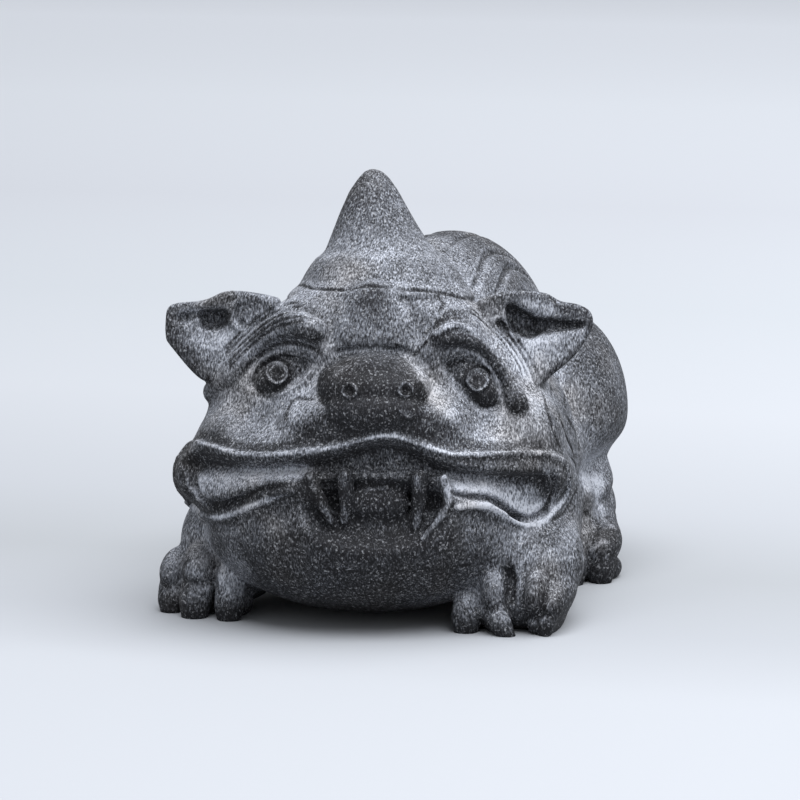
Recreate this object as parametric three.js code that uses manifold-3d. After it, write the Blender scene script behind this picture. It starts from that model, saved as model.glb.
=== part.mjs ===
// A small crouching pixiu, the winged lion of East Asia, carved from one piece of dark stone.
// It lies on its belly with the chin low between its forepaws, and its head turned to its left.
// Millimetres, +Z up. The figure faces -Y, and its left side is +X.

import * as THREE from "three";
import { mergeVertices } from "three/addons/utils/BufferGeometryUtils.js";
import Module from "manifold-3d";

// Driving dimensions

const LENGTH = 70; // from the lips to the back of the tail
const HEAD_TURN = 16; // degrees, towards its own left
const HEAD_TILT = 9; // degrees, looking up

// Everything carved is drawn as shares of the length: the figure was drawn 70 units long.
const DRAWN_LENGTH = 70;
const UNIT = LENGTH / DRAWN_LENGTH;

// Where the middle of the face is, between the eyes, and the floor's point under the middle of the figure.
const FACE_AT = [1.2, -27.4, 24.5];
const MIDDLE = [-1.179, -0.446, 0];

const wasm = await Module();
wasm.setup();

// Making and joining

const vector = ([x, y, z]) => new THREE.Vector3(x, y, z).multiplyScalar(UNIT);
const mirrored = ([x, y, z], side) => [side * x, y, z];

// An egg-shaped mass: its centre, its three half sizes and its turn about X, Y and Z in degrees.
function ball(at, half, turn = [0, 0, 0], sides = 12) {
  const angles = turn.map(THREE.MathUtils.degToRad);
  const egg = new THREE.SphereGeometry(1, sides, Math.round(sides * 0.55));
  egg.rotateX(Math.PI / 2);
  egg.scale(...half.map((size) => size * UNIT));
  egg.applyMatrix4(new THREE.Matrix4().makeRotationFromEuler(new THREE.Euler(...angles, "ZYX")));
  const centre = vector(at);
  return egg.translate(centre.x, centre.y, centre.z);
}

// A roll along a curve, round at both ends. Its radii are spread along the path, and thin is the share of each
// that the roll keeps along the direction up.
function roll(path, radii, { sides = 10, rings = 3 * path.length, thin = 1, up = [0, 0, 1] } = {}) {
  const curve = new THREE.CatmullRomCurve3(path.map(vector));
  const shape = new THREE.SphereGeometry(1, sides, rings);
  const points = shape.attributes.position;
  const upward = new THREE.Vector3(...up).normalize();
  for (let k = 0; k < points.count; k++) {
    const share = Math.floor(k / (sides + 1)) / rings;
    const turn = ((k % (sides + 1)) / sides) * 2 * Math.PI;
    const along = curve.getTangent(share);
    const across = new THREE.Vector3().crossVectors(along, upward).normalize();
    const over = new THREE.Vector3().crossVectors(along, across);
    const radius = between(radii, share) * UNIT * Math.sqrt(1 - Math.abs(2 * share - 1) ** 5);
    const place = curve.getPoint(share);
    place.addScaledVector(across, -Math.cos(turn) * radius);
    place.addScaledVector(over, Math.sin(turn) * radius * thin);
    points.setXYZ(k, place.x, place.y, place.z);
  }
  return shape;
}

// The value of a list at a share of its length, from 0 to 1.
function between(list, share) {
  const place = share * (list.length - 1);
  const first = Math.min(Math.floor(place), list.length - 2);
  return THREE.MathUtils.lerp(list[first], list[first + 1], place - first);
}

function solidOf(geometry) {
  const bare = geometry.clone();
  bare.deleteAttribute("normal");
  bare.deleteAttribute("uv");
  const merged = mergeVertices(bare, 1e-4);
  return new wasm.Manifold(
    new wasm.Mesh({
      numProp: 3,
      vertProperties: new Float32Array(merged.attributes.position.array),
      triVerts: new Uint32Array(merged.index.array),
    }),
  );
}

function geometryOf(solid) {
  const mesh = solid.getMesh();
  return new THREE.BufferGeometry()
    .setAttribute("position", new THREE.BufferAttribute(mesh.vertProperties, 3))
    .setIndex(new THREE.BufferAttribute(mesh.triVerts, 1));
}

function joined(geometries) {
  return geometries.map(solidOf).reduce((all, next) => all.add(next));
}

function carved(body, cuts) {
  return cuts.map(solidOf).reduce((all, next) => all.subtract(next), body);
}

// Trunk: the back, the belly, the flanks and the chest, which follow the back's size

const BACK_AT = [0, 4.5, 20.4];
const BACK_HALF = [11.9, 23.5, 18.3];
const BELLY_AT = [0, 2, 12.5];
const BELLY_HALF = [BACK_HALF[0] + 1.7, BACK_HALF[1] + 2.5, BACK_HALF[2] - 7];

function trunk() {
  const [wide, long, high] = BACK_HALF;
  return [
    ball(BACK_AT, BACK_HALF, [0, 0, 0], 18),
    ball(BELLY_AT, BELLY_HALF, [0, 0, 0], 16),
    ball([0, 0, 15.5], [wide + 4.3, long - 2.5, high - 6.3], [0, 0, 0], 14),
    ball([0, -12, 20], [wide + 1.6, 13, high - 3.8], [0, 0, 0], 16),
  ];
}

// A point of the back, at a distance behind its middle and an angle down its left side from the ridge.
function onBack(behind, degrees, height = 0) {
  const [x, y, z] = BACK_AT;
  const [wide, long, high] = BACK_HALF;
  const round = Math.sqrt(1 - (behind / long) ** 2);
  const angle = THREE.MathUtils.degToRad(degrees);
  return [
    x + (wide * round + height) * Math.sin(angle),
    y + behind,
    z + (high * round + height) * Math.cos(angle),
  ];
}

// Limbs, on its left where side is 1 and on its right where side is -1

// A toe bent down to its nail: its place on the floor, its height, its half width and its lean in degrees.
function toe([x, y, tall, wide, lean]) {
  const front = y - 3.4;
  const aside = tall * Math.sin(THREE.MathUtils.degToRad(lean));
  return roll(
    [
      [x + aside, y + 1.6, tall - 1.3 * wide],
      [x + 0.8 * aside, y - 0.6, tall - wide],
      [x + 0.4 * aside, front + 1.2 * wide, 0.6 * tall],
      [x + 0.1 * aside, front + wide, 0.25 * tall],
      [x, front + wide, -0.8],
    ],
    [0.9, 1, 1.05, 0.85, 1.05, 0.9].map((share) => share * wide),
    { sides: 6, rings: 7, up: [1, 0, 0] },
  );
}

const FOREPAWS = [
  {
    wrist: [[15.9, -18.5, 6.4], [5.5, 7, 6]],
    pad: [[15.8, -21.2, 3.2], [5.8, 4.8, 3.8]],
    toes: [
      [10.9, -23.8, 4.4, 2.1, 0],
      [14.6, -24.6, 6.8, 1.6, -8],
      [17.9, -24.2, 6.6, 1.5, 0],
      [20.3, -22.8, 5.6, 1.5, 3],
    ],
  },
  {
    wrist: [[-17.4, -18.5, 6.8], [6, 7, 6.8]],
    pad: [[-18.2, -21.2, 3.2], [5.4, 4.6, 3.8]],
    toes: [
      [-22.8, -22.6, 6.4, 1.75, 4],
      [-19.4, -24.8, 7.8, 2.05, 0],
      [-15.4, -25, 6.2, 2, -4],
    ],
  },
];

function foreleg(side) {
  return [
    ball([9.3 * side, -11, 15.5], [9.4, 12, 13.5], [0, 0, 0], 12),
    ball([14.4 * side, -13.5, 10.5], [5.6, 6.4, 9], [0, 0, 0], 10),
    ball([14.8 * side, -12, 5.6], [4.4, 8, 5.3], [0, 0, 0], 10),
  ];
}

function forepaw({ wrist, pad, toes }) {
  return [ball(...wrist, [0, 0, 0], 10), ball(...pad, [0, 0, 0], 8), ...toes.map(toe)];
}

const HIND_TOES = [
  [12.6, 4, 5, 1.7, 0],
  [15.6, 3.4, 6.4, 1.8, 0],
  [18.4, 5.4, 5.6, 1.8, 5],
];

function hindleg(side) {
  const toes = HIND_TOES.map(([x, y, tall, wide, lean]) => [x * side, y, tall, wide, lean * side]);
  return [
    ball([10.9 * side, 11, 17.8], [8.2, 12.4, 11.8], [-18, 0, 0], 16),
    ball([12.4 * side, 4.5, 12], [5.4, 6.4, 7.4], [20, 0, 0], 10),
    ball([12.9 * side, 12.5, 6.5], [4.8, 7, 5.6], [0, 0, 0], 10),
    ball([12.6 * side, -1, 13], [4.8, 9, 8], [0, 0, 0], 10),
    ball([15.2 * side, 8.6, 3.3], [4.2, 7.8, 3.9], [0, 0, 0], 8),
    ball([16.2 * side, 11, 10.8], [2.3, 4.6, 2.6], [24, 0, -12 * side], 7),
    ...toes.map(toe),
  ];
}

// Mane and tail

const LOCKS = 3; // on each side of the neck

function mane(side) {
  return Array.from({ length: LOCKS }, (_, k) => {
    const down = 24 + 19 * k;
    return roll(
      [-18, -11, -4, 6 - k].map((behind, n) => mirrored(onBack(behind, down + 3 * n, -1), side)),
      [2, 2.1, 1.8, 0.7],
      { sides: 5, rings: 5 },
    );
  });
}

// A point on the rump, at a height and a distance across to its left, moved back by out.
function onRump(height, across, out) {
  const backs = [[BACK_AT, BACK_HALF], [BELLY_AT, BELLY_HALF]].map(([at, half]) => {
    const level = 1 - ((height - at[2]) / half[2]) ** 2 - ((across - at[0]) / half[0]) ** 2;
    return at[1] + half[1] * Math.sqrt(Math.max(level, 0));
  });
  return [across, Math.max(...backs) + out, height];
}

function tail() {
  const middle = roll(
    [onRump(7, 0, -1.7), onRump(11, 0, 0.8), onRump(18, 0, 2.91), onRump(27, 0, 0.8), onRump(34, 0, 0.9)],
    [3.2, 4, 4, 3, 1],
    { sides: 9, rings: 9, up: [0, 1, 0] },
  );
  const locks = [-1, 1].map((side) =>
    roll(
      [
        onRump(12, 2 * side, 0.6),
        onRump(17, 5.6 * side, 0.6),
        onRump(23, 7.4 * side, 0.4),
        onRump(28.5, 5.4 * side, 0),
      ],
      [2.4, 2.6, 2, 0.8],
      { sides: 7, rings: 7, up: [0, 1, 0] },
    ),
  );
  return [middle, ...locks];
}

// Head, drawn square on: X to its left, Y to the back of the head, Z up, from the middle of the face

const SKULL = [[0.2, 11, -0.5], [18.4, 13, 13.6]];
const MOUTH = [[-0.4, 8, -7.8], [21.4, 13.8, 7.8]];
const CHIN = [[-0.5, 8, -13.5], [17.7, 13, 9.2]];
const FOREHEAD = [[0, 5.5, 6.5], [12, 8, 7]];
const CHEEKS = [[[14.6, 9, -3.6], [5.6, 9, 5.7]], [[-14.2, 9, -4.8], [5.4, 9, 4.8]]];

function headMasses() {
  return [
    ball(...SKULL, [0, 0, 0], 18),
    ball(...MOUTH, [0, 0, 0], 20),
    ball(...CHIN, [0, 0, 0], 16),
    ball(...FOREHEAD, [0, 0, 0], 10),
    ...CHEEKS.map((cheek) => ball(...cheek, [0, 0, 0], 10)),
  ];
}

// A point on the front of the lips and chin, at a place across and up the face, moved forward by out.
function onJaw(x, z, out = 0) {
  const fronts = [MOUTH, CHIN].map(([at, half]) => {
    const level = 1 - ((x - at[0]) / half[0]) ** 2 - ((z - at[2]) / half[2]) ** 2;
    return at[1] - half[1] * Math.sqrt(Math.max(level, 0));
  });
  return [x, Math.min(...fronts) - out, z];
}

// The horn's rings from its foot up: how far each lies to the left, its radius and its height.
const HORN = [
  [0.4, 0, 9],
  [0.4, 9.8, 9.6],
  [0.4, 10.2, 11],
  [0.5, 9, 12.4],
  [0.5, 8.2, 13.7],
  [0.4, 6.4, 15.7],
  [0.1, 5.4, 17],
  [-0.1, 4.5, 18.6],
  [-0.3, 3.7, 20.3],
  [-0.4, 2.7, 22.4],
  [-0.4, 1.7, 23.8],
  [-0.5, 1, 24.5],
  [-0.5, 0, 24.8],
];
const HORN_BEHIND = 8.9;

function horn() {
  const profile = HORN.map(([, radius, height]) => new THREE.Vector2(radius * UNIT, height * UNIT));
  const shape = new THREE.LatheGeometry(profile, 14);
  const points = shape.attributes.position;
  for (let k = 0; k < points.count; k++) {
    points.setX(k, points.getX(k) + HORN[k % HORN.length][0] * UNIT);
  }
  return shape.rotateX(Math.PI / 2).translate(0, HORN_BEHIND * UNIT, 0);
}

// An ear, as a leaf pointing outwards, with a long hollow in its front.
const EAR_OUTLINE = [
  [10.5, 10.6],
  [14.5, 11.6],
  [18.3, 10.9],
  [21.6, 10.1],
  [22.8, 8.6],
  [22.4, 6.6],
  [18.7, 2.6],
  [14.5, 1.6],
  [10.5, 4],
];
const EAR_FRONT = 5.6;
const EAR_THICK = 3.4;
const EAR_ROUND = 1;

function ear(side) {
  const middle = [16.5, 7];
  const outline = EAR_OUTLINE.map(([x, z]) => {
    const inward = 1 - EAR_ROUND / Math.hypot(x - middle[0], z - middle[1]);
    return new THREE.Vector2(
      side * (middle[0] + (x - middle[0]) * inward) * UNIT,
      (middle[1] + (z - middle[1]) * inward) * UNIT,
    );
  });
  const leaf = new THREE.Shape(new THREE.SplineCurve([...outline, outline[0]]).getPoints(16).slice(0, -1));
  const shape = new THREE.ExtrudeGeometry(leaf, {
    depth: (EAR_THICK - 2 * EAR_ROUND) * UNIT,
    bevelSize: EAR_ROUND * UNIT,
    bevelThickness: EAR_ROUND * UNIT,
    bevelSegments: 1,
    steps: 1,
  });
  return shape.rotateX(Math.PI / 2).translate(0, (EAR_FRONT + EAR_THICK - EAR_ROUND) * UNIT, 0);
}

function earHollow(side) {
  return roll(
    [
      mirrored([12.6, 5.2, 8.2], side),
      mirrored([16, 5, 8], side),
      mirrored([19, 5, 7.8], side),
      mirrored([21.8, 5.4, 8.4], side),
    ],
    [2.2, 2.8, 2.3, 0.8],
    { sides: 8, rings: 5, thin: 0.8, up: [0, 1, 0] },
  );
}

function brows() {
  return [
    roll(
      [
        [-6.3, -0.6, 6.6],
        [-8.7, -0.1, 7.8],
        [-12, 1.4, 6.2],
        [-15.2, 4, 3.1],
        [-17.2, 6.8, 0.8],
      ],
      [1.6, 1.7, 1.8, 1.7, 1.6],
      { sides: 7, rings: 8 },
    ),
    roll(
      [
        [6.8, -0.6, 6.7],
        [9.8, 0.4, 6.4],
        [12.2, 1.9, 4.4],
        [13.9, 3.3, 1.4],
        [14.8, 4.2, -0.8],
      ],
      [1, 1.4, 1.5, 1.5, 1.5],
      { sides: 7, rings: 8 },
    ),
  ];
}

function face() {
  return [
    ball([-0.4, 1.6, 8.2], [3.8, 3.6, 4.2], [0, 0, 0], 12),
    ball([-0.2, -3.0, 1.6], [5.4, 4.5, 3.2], [0, 0, 0], 12),
    ball([-3.7, -3.6, 0.9], [2.3, 2.9, 2.1], [0, 0, 0], 8),
    ball([3.3, -3.6, 0.9], [2.3, 2.9, 2.1], [0, 0, 0], 8),
    ball([0, 0.6, -2.5], [10.8, 6.4, 4.1], [0, 0, 0], 14),
  ];
}

function eyes() {
  return [
    ball([-10.3, 0.9, 2.7], [3.3, 1.9, 1.9], [0, -18, 0], 10),
    ball([10.0, 0.9, 1.8], [3.3, 1.9, 1.9], [0, 32, 0], 10),
  ];
}

function eyeSockets() {
  return [
    ball([-10.3, -1.2, 2.9], [4.6, 2.6, 2.9], [0, -18, 0], 10),
    ball([10.0, -1.2, 2.0], [4.6, 2.6, 2.9], [0, 32, 0], 10),
  ];
}

// Mouth: a long hollow between the lips, with a gum roll lying in it, four fangs and the tongue

function mouthHollow() {
  return [
    roll(
      [
        onJaw(-18.4, -8.8, -0.2),
        onJaw(-12, -8.2, 0.2),
        onJaw(-4, -7, 0.6),
        onJaw(1, -6.6, 0.8),
        onJaw(6, -7.4, 0.6),
        onJaw(13, -8.8, 0.2),
        onJaw(18, -9.8, -0.2),
      ],
      [3.3, 2.2, 2.3, 2.5, 2.3, 2.3, 3.1],
      { sides: 8, rings: 13 },
    ),
    ball([0.4, -5, -11.8], [6.2, 3, 3.2], [0, 0, 0], 10),
  ];
}

function gum() {
  return roll(
    [
      onJaw(-17.4, -9.4, -1.6),
      onJaw(-13, -8, -1.8),
      onJaw(-6, -7.4, -1.8),
      onJaw(1, -7.4, -1.6),
      onJaw(8, -8, -1.8),
      onJaw(13.5, -9.4, -1.8),
      onJaw(16.6, -10.6, -1.6),
    ],
    [1.9, 1.5, 1.4, 1.4, 1.5, 1.7, 2],
    { sides: 6, rings: 12 },
  );
}

const FANGS = [
  { root: -6.4, tip: -5.0 },
  { root: -3.6, tip: -3.5 },
  { root: 4.4, tip: 4.2 },
  { root: 6.8, tip: 5.4 },
];

function fangs() {
  return [
    ...FANGS.map(({ root, tip }) =>
      roll(
        [onJaw(root, -8, -1), onJaw((root + tip) / 2, -10.6, -0.2), onJaw(tip, -13.2, -0.6)],
        [0.9, 0.8, 0.3],
        { sides: 5, rings: 4, up: [0, 1, 0] },
      ),
    ),
    ball([0.6, -3, -11], [3.2, 2.2, 1.9], [0, 0, 0], 8),
  ];
}

// A lip as a thin raised line along points across and up the face.
function lip(points, rings) {
  return roll(
    points.map(([x, z]) => onJaw(x, z, -0.3)),
    [0.9, 0.9],
    { sides: 4, rings },
  );
}

function lips() {
  return [
    lip([[-20.2, -8.9], [-19.4, -5.4], [-15.2, -5.5], [-9.5, -5.9], [-4.6, -4.9], [0.8, -3.8], [5.4, -4.8],
      [9.5, -5.8], [15.5, -5.7], [19, -6.6], [19.8, -9.4]], 20),
    lip([[-20.2, -8.9], [-19.2, -11.6], [-16.4, -12.5], [-12.4, -10.8], [-8.6, -9.9]], 8),
    lip([[19.8, -9.4], [18.4, -12.4], [15.4, -13], [12, -11.2], [8.6, -11]], 8),
  ];
}

function head() {
  let solid = carved(joined([...headMasses(), ...face(), horn(), ear(1), ear(-1)]), [
    ...eyeSockets(),
    ...mouthHollow(),
    earHollow(1),
    earHollow(-1),
  ]);
  solid = solid.add(joined([...eyes(), ...brows(), gum(), ...fangs(), ...lips()]));
  const turned = new THREE.Matrix4().makeRotationZ(THREE.MathUtils.degToRad(HEAD_TURN));
  const tilted = new THREE.Matrix4().makeRotationX(THREE.MathUtils.degToRad(-HEAD_TILT));
  const place = vector(FACE_AT);
  return geometryOf(solid)
    .applyMatrix4(tilted)
    .applyMatrix4(turned)
    .translate(place.x, place.y, place.z);
}

// The outer skin alone, so that no sealed bubble is left where the masses meet.
function skinOf(solid) {
  return solid.decompose().reduce((most, next) => (next.volume() > most.volume() ? next : most));
}

// The whole figure, with its feet cut flat on the floor

function figure() {
  const whole = joined([
    ...trunk(),
    ...foreleg(1),
    ...foreleg(-1),
    ...FOREPAWS.flatMap(forepaw),
    ...hindleg(1),
    ...hindleg(-1),
    ...mane(1),
    ...mane(-1),
    ...tail(),
    head(),
  ]);
  const floor = new THREE.BoxGeometry(200 * UNIT, 200 * UNIT, 20 * UNIT).translate(0, 0, -10 * UNIT);
  const middle = vector(MIDDLE);
  return geometryOf(skinOf(carved(whole, [floor]))).translate(-middle.x, -middle.y, -middle.z);
}

const stone = new THREE.MeshStandardMaterial({ color: 0x4a4c50, roughness: 0.8, metalness: 0 });
const pixiu = new THREE.Mesh(figure(), stone);
pixiu.name = "pixiu_figure";

const group = new THREE.Group();
group.add(pixiu);
export default group;
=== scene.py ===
import math

import bpy
import numpy as np
from mathutils import Matrix, Vector
from mathutils.bvhtree import BVHTree
from mathutils.kdtree import KDTree


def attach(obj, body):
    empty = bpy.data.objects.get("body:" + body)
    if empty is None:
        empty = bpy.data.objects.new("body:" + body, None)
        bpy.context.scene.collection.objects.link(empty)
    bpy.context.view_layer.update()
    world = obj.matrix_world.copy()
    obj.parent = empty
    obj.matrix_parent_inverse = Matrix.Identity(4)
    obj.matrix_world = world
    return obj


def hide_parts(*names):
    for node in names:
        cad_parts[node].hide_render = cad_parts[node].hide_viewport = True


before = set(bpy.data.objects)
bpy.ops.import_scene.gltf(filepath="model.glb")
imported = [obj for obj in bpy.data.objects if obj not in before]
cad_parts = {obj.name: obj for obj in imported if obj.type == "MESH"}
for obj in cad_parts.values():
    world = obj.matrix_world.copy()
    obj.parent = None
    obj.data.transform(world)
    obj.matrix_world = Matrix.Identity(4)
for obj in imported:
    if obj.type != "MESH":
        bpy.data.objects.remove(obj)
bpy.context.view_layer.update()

# The figure is one piece of dark, fine-grained stone. A carver roughs out a trunk that lies on its belly,
# four legs, and a broad head, turned to its own left and looking up, and rubs them round. Sizes are
# millimetres until it is finished. It faces -Y, and its left side is +X.
HEAD_TURN = 16  # degrees towards its own left
HEAD_TILT = 9  # degrees, looking up
FACE_AT = Vector((1.2, -27.4, 24.5))
TURNED = Matrix.Rotation(math.radians(HEAD_TURN), 4, "Z")
TILTED = Matrix.Rotation(math.radians(-HEAD_TILT), 4, "X")
HEAD = Matrix.Translation(FACE_AT) @ TURNED @ TILTED
SIDES = (1, -1)  # its left, then its right
ROUGH_VOXEL = 0.6
BLOCK_VOXEL = 0.26


def pick(*objects):
    bpy.ops.object.select_all(action="DESELECT")
    for each in objects:
        each.select_set(True)
    bpy.context.view_layer.objects.active = objects[0]


def work(piece, kind, **settings):
    pick(piece)
    step = piece.modifiers.new(kind.lower(), kind)
    for key, value in settings.items():
        setattr(step, key, value)
    bpy.ops.object.modifier_apply(modifier=step.name)


def egg(at, half, turn=(0, 0, 0), place=None):
    bpy.ops.object.select_all(action="DESELECT")
    bpy.ops.mesh.primitive_uv_sphere_add(segments=40, ring_count=24, radius=1, location=at)
    mass = bpy.context.object
    mass.rotation_euler = [math.radians(a) for a in turn]
    mass.scale = half
    bpy.ops.object.transform_apply(location=True, rotation=True, scale=True)
    if place:
        mass.data.transform(place)
    return mass


def fuse(masses, voxel):
    pick(*masses)
    if len(masses) > 1:
        bpy.ops.object.join()
    whole = bpy.context.object
    work(whole, "REMESH", mode="VOXEL", voxel_size=voxel)
    return whole


def places(piece):
    mesh = piece.data
    points = np.empty(len(mesh.vertices) * 3)
    mesh.vertices.foreach_get("co", points)
    return points.reshape(-1, 3)


def facings(piece):
    mesh = piece.data
    normals = np.empty(len(mesh.vertices) * 3)
    mesh.vertex_normals.foreach_get("vector", normals)
    return normals.reshape(-1, 3)


def put(piece, points):
    piece.data.vertices.foreach_set("co", points.ravel())
    piece.data.update()


# Each point's neighbours along its edges, as pairs of points, and how many of them it has.
def neighbours(piece):
    edges = np.empty(len(piece.data.edges) * 2, dtype=np.int64)
    piece.data.edges.foreach_get("vertices", edges)
    pairs = edges.reshape(-1, 2)
    pairs = np.concatenate([pairs, pairs[:, ::-1]])
    return pairs, np.bincount(pairs[:, 0], minlength=len(piece.data.vertices))[:, None]


def mean_around(values, pairs, counts):
    sums = [np.bincount(pairs[:, 0], values[pairs[:, 1], k], len(values)) for k in range(3)]
    return np.stack(sums, 1) / counts


# Rubs the stone down: hollows fill and crests wear, each by its own share, so that masses flow together.
def rub(piece, passes, fill, wear):
    pairs, counts = neighbours(piece)
    for _ in range(passes):
        points = places(piece)
        normals = facings(piece)
        step = mean_around(points, pairs, counts) - points
        lift = (step * normals).sum(1, keepdims=True)
        put(piece, points + step * np.where(lift > 0, fill, wear))


block = [
    egg((0, 4.5, 20.4), (11.9, 23.5, 18.3)),  # back
    egg((0, 2, 12.5), (13.6, 26, 11.3)),  # belly
    egg((0, 0, 15.5), (16.2, 21, 12)),  # ribs
    egg((0, -12, 20), (13.5, 13, 14.5)),  # chest
]
for side in SIDES:
    block += [
        egg((10.9 * side, 11, 17.8), (8.2, 12.4, 11.8), (-18, 0, 0)),  # haunch
        egg((12.4 * side, 4.5, 12), (5.4, 6.4, 7.4), (20, 0, 0)),  # knee
        egg((12.9 * side, 12.5, 6.5), (4.8, 7, 5.6)),  # hock
        egg((15.2 * side, 8.8, 3.2), (4.0, 7.4, 3.7)),  # hind foot
        egg((12.6 * side, -1, 13), (4.8, 9, 8)),  # flank
        egg((9.3 * side, -11, 15.5), (9.4, 12, 13.5)),  # shoulder
        egg((14.4 * side, -13.5, 10.5), (5.6, 6.4, 9)),  # upper arm
        egg((14.8 * side, -12, 5.6), (4.4, 8, 5.3)),  # elbow
    ]
block += [
    egg((15.9, -18.5, 6.4), (5.5, 7, 6)),  # left wrist
    egg((15.8, -21.6, 3.4), (5.8, 4.8, 3.8)),  # left forepaw
    egg((-17.4, -18.5, 6.8), (6.0, 7, 6.8)),  # right wrist
    egg((-18.4, -21.6, 3.6), (5.4, 4.4, 3.8)),  # right forepaw
    egg((0.2, 11, -0.5), (18.4, 13, 13.6), place=HEAD),  # skull
    egg((-0.4, 8, -7.8), (21.4, 13.8, 7.8), place=HEAD),  # jaws
    egg((-0.5, 8, -13.5), (17.7, 13, 9.2), place=HEAD),  # chin
    egg((0, 5.5, 6.5), (12, 8, 7), place=HEAD),  # forehead
    egg((-0.4, 1.6, 8.2), (3.8, 3.6, 4.2), place=HEAD),  # the boss over the nose
    egg((14.6, 9, -3.6), (5.6, 9, 5.7), place=HEAD),  # left cheek
    egg((-14.2, 9, -4.8), (5.4, 9, 4.8), place=HEAD),  # right cheek
    egg((0, 0.6, -2.5), (10.8, 6.4, 4.1), place=HEAD),  # muzzle
]
figure = fuse(block, ROUGH_VOXEL)
rub(figure, passes=24, fill=0.5, wear=0.04)
work(figure, "REMESH", mode="VOXEL", voxel_size=BLOCK_VOXEL)
rub(figure, passes=6, fill=0.4, wear=0.1)

# The mouth is a long hollow, wide at both corners. Its gum slopes up and back from a sharp edge, and a
# deeper pocket lies round the teeth. The face is drawn as it is seen from in front: places are given across
# and up on a sheet between the eyes, and lie on the stone behind it.
SEEN_FROM = Vector((2.415, -420, 0))
HEAD_AT = np.array(HEAD.translation)
HEAD_AXES = np.array(HEAD.to_3x3())
TOWARD = np.array(HEAD.to_3x3() @ Vector((0, -1, 0)))
FACE_DEPTH = 14  # what lies farther back from the sheet than this isn't part of the face


def skin_of(piece):
    corners = [v.co for v in piece.data.vertices]
    return BVHTree.FromPolygons(corners, [p.vertices for p in piece.data.polygons])


skin = skin_of(figure)


def on_face(across, up, out=0.0):
    start = HEAD @ SEEN_FROM
    aim = (HEAD @ Vector((across, 0, up)) - start).normalized()
    hit, normal = skin.ray_cast(start, aim)[:2]
    if not hit:
        hit, normal = skin.find_nearest(HEAD @ Vector((across, 8, up)))[:2]
    return hit + (1.2 * normal - aim).normalized() * out


# How much wider a thing must be than it looks on the sheet, when it stands this far behind it.
def widening(depth):
    return (depth - SEEN_FROM.y) / -SEEN_FROM.y


def face_view(points):
    turned = (points - HEAD_AT) @ HEAD_AXES
    scale = -SEEN_FROM.y / (turned[:, 1] - SEEN_FROM.y)
    return SEEN_FROM.x + (turned[:, 0] - SEEN_FROM.x) * scale, turned[:, 2] * scale


def behind_face(points):
    return (points - HEAD_AT) @ HEAD_AXES[:, 1]


# A smooth path through a few places, as many as its length needs.
def smooth_path(points, spacing):
    points = [Vector(p) for p in points]
    ends = [2 * points[0] - points[1]] + points + [2 * points[-1] - points[-2]]
    path = []
    for a, b, c, d in zip(ends, ends[1:], ends[2:], ends[3:]):
        steps = max(1, round((c - b).length / spacing))
        bow = 2 * a - 5 * b + 4 * c - d
        twist = 3 * b - a - 3 * c + d
        for k in range(steps):
            t = k / steps
            path.append(0.5 * (2 * b + (c - a) * t + bow * t**2 + twist * t**3))
    return path + [points[-1]]


def closed_path(outline, spacing, scale=1.0):
    return smooth_path([Vector((x, z, 0)) * scale for x, z in outline + outline[:1]], spacing)


def within(spots, ring):
    inside = np.zeros(len(spots), bool)
    away = np.full(len(spots), 1e9)
    for (x0, z0), (x1, z1) in zip(ring, ring[1:]):
        crosses = (z0 > spots[:, 1]) != (z1 > spots[:, 1])
        inside ^= crosses & (spots[:, 0] < (x1 - x0) * (spots[:, 1] - z0) / (z1 - z0 + 1e-12) + x0)
        run = np.array((x1 - x0, z1 - z0))
        t = np.clip(((spots - (x0, z0)) @ run) / (run @ run + 1e-12), 0, 1)
        away = np.minimum(away, np.hypot(*(spots - (x0, z0) - t[:, None] * run).T))
    return inside, away


# The points inside an outline seen from in front, and how far in each lies: 0 at its edge, 1 past its slope.
def inside_outline(piece, outline, slope):
    points = places(piece)
    across, up = face_view(points)
    ring = np.array([p[:2] for p in closed_path(outline, 0.4)])
    low, high = ring.min(0), ring.max(0)
    near = np.where((across > low[0]) & (across < high[0]) & (up > low[1]) & (up < high[1]))[0]
    near = near[(facings(piece)[near] @ TOWARD > -0.3) & (behind_face(points[near]) < FACE_DEPTH)]
    inside, away = within(np.stack([across[near], up[near]], 1), ring)
    share = np.where(inside, np.clip(away / slope, 0, 1), 0)
    return near, share * share * (3 - 2 * share)


# Presses places of the face inwards by a depth each, mostly along their own slope.
def press(piece, near, depth):
    points = places(piece)
    inward = -(TOWARD + 1.5 * facings(piece)[near])
    points[near] += inward / np.linalg.norm(inward, axis=1, keepdims=True) * depth[:, None]
    put(piece, points)


# Presses a hollow into the face: an outline seen from in front, its depth, and how far in its wall slopes.
def hollow(piece, outline, depth, slope):
    near, share = inside_outline(piece, outline, slope)
    press(piece, near, depth * share)


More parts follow.
